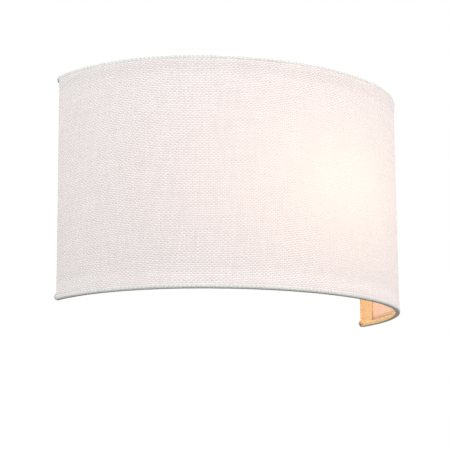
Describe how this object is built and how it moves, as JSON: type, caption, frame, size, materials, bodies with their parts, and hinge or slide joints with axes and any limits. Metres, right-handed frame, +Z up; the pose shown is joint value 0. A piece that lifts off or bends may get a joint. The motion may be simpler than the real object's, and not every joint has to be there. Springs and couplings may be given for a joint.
{
  "type": "fabric shade wall light",
  "caption": "Half-drum wall light: an off-white linen shade with rolled edges hung on a steel back plate over a lamp lying along the wall.",
  "frame": {"origin": "centre of the two wall screw slots, on the wall plane", "axes": "+X along the wall to the right as seen from the room, +Y into the wall, +Z up; the shade stands out towards -Y"},
  "size_m": [0.3, 0.138, 0.175],
  "materials": {
    "linen": "plain woven off-white linen, matt",
    "liner": "smooth translucent shade liner",
    "coated_wire": "white coated wire",
    "white_steel": "white powder coat",
    "white_paint": "white powder coat",
    "zinc": "bright zinc plate",
    "nickel": "nickel plate",
    "brass": "plain brass",
    "tinned": "tinned",
    "nylon": "natural nylon",
    "rubber": "black rubber",
    "holder_plastic": "white moulded plastic",
    "insert_ceramic": "unglazed steatite",
    "shell_metal": "nickel plated sheet",
    "black_glass": "black glass insulator",
    "bulb_plastic": "white moulded plastic",
    "board": "white coated aluminium board with yellow diodes",
    "opal_globe": "opal diffuser, lit warm white",
    "brown_core": "brown insulation",
    "blue_core": "blue insulation",
    "earth_insulation": "green and yellow insulation",
    "sleeving": "white braided glass sleeving"
  },
  "bodies": {
    "fixture": {"back_plate": "white_paint", "wall_bracket": "zinc", "bracket_studs": "zinc", "bracket_nuts": "zinc", "cap_nuts": "nickel", "shade_studs": "zinc", "earth_screw": "brass", "earth_tag": "tinned", "terminal_block": "nylon", "terminal_clamps": "brass", "terminal_screws": "zinc", "block_screws": "zinc", "cable_grommet": "rubber", "lead_grommet": "rubber", "lamp_bracket": "white_steel", "screw_nuts": "zinc", "bracket_screws": "zinc", "nipple": "zinc", "nipple_washer": "zinc", "nipple_nut": "zinc", "holder_cap": "holder_plastic", "holder_skirt": "holder_plastic", "holder_insert": "insert_ceramic", "holder_terminals": "brass", "holder_screws": "zinc", "holder_shell": "shell_metal", "holder_contact": "brass", "live_core": "brown_core", "neutral_core": "blue_core", "earth_core": "earth_insulation", "lead_sleeve": "sleeving"},
    "bulb_tip": {"bulb_contact": "tinned", "bulb_insulator": "black_glass"},
    "bulb": {"bulb_cap": "shell_metal", "bulb_housing": "bulb_plastic", "led_board": "board", "bulb_globe": "opal_globe"},
    "shade": {"shade_fabric": "linen", "shade_liner": "liner", "top_wire": "coated_wire", "bottom_wire": "coated_wire", "left_upright": "coated_wire", "right_upright": "coated_wire", "left_lug": "white_steel", "right_lug": "white_steel"},
    "left_washer": {"left_washer": "zinc"},
    "left_nut": {"left_thumb_nut": "nickel"},
    "right_washer": {"right_washer": "zinc"},
    "right_nut": {"right_thumb_nut": "nickel"}
  },
  "joints": [
    {"name": "shade_lift", "type": "slide", "parent": "fixture", "child": "shade", "axis": [0, 0, 1], "range_m": [0, 0.13]},
    {"name": "bulb_travel", "type": "slide", "parent": "fixture", "child": "bulb_tip", "axis": [1, 0, 0], "range_m": [0, 0.01815]},
    {"name": "bulb_turn", "type": "hinge", "parent": "bulb_tip", "child": "bulb", "pos_m": [0, -0.062, 0], "axis": [1, 0, 0], "range_deg": [0, 1800]},
    {"name": "left_washer_travel", "type": "slide", "parent": "fixture", "child": "left_washer", "axis": [0, -1, 0], "range_m": [0, 0.007]},
    {"name": "left_nut_turn", "type": "hinge", "parent": "left_washer", "child": "left_nut", "pos_m": [-0.104, 0, 0.02], "axis": [0, -1, 0], "range_deg": [0, 3600]},
    {"name": "right_washer_travel", "type": "slide", "parent": "fixture", "child": "right_washer", "axis": [0, -1, 0], "range_m": [0, 0.007]},
    {"name": "right_nut_turn", "type": "hinge", "parent": "right_washer", "child": "right_nut", "pos_m": [0.104, 0, 0.02], "axis": [0, -1, 0], "range_deg": [0, 3600]}
  ],
  "couplings": [
    {"joint": "bulb_travel", "follows": "bulb_turn", "m_per_rad": 0.00057757},
    {"joint": "left_washer_travel", "follows": "left_nut_turn", "m_per_rad": 0.00011141},
    {"joint": "right_washer_travel", "follows": "right_nut_turn", "m_per_rad": 0.00011141}
  ]
}
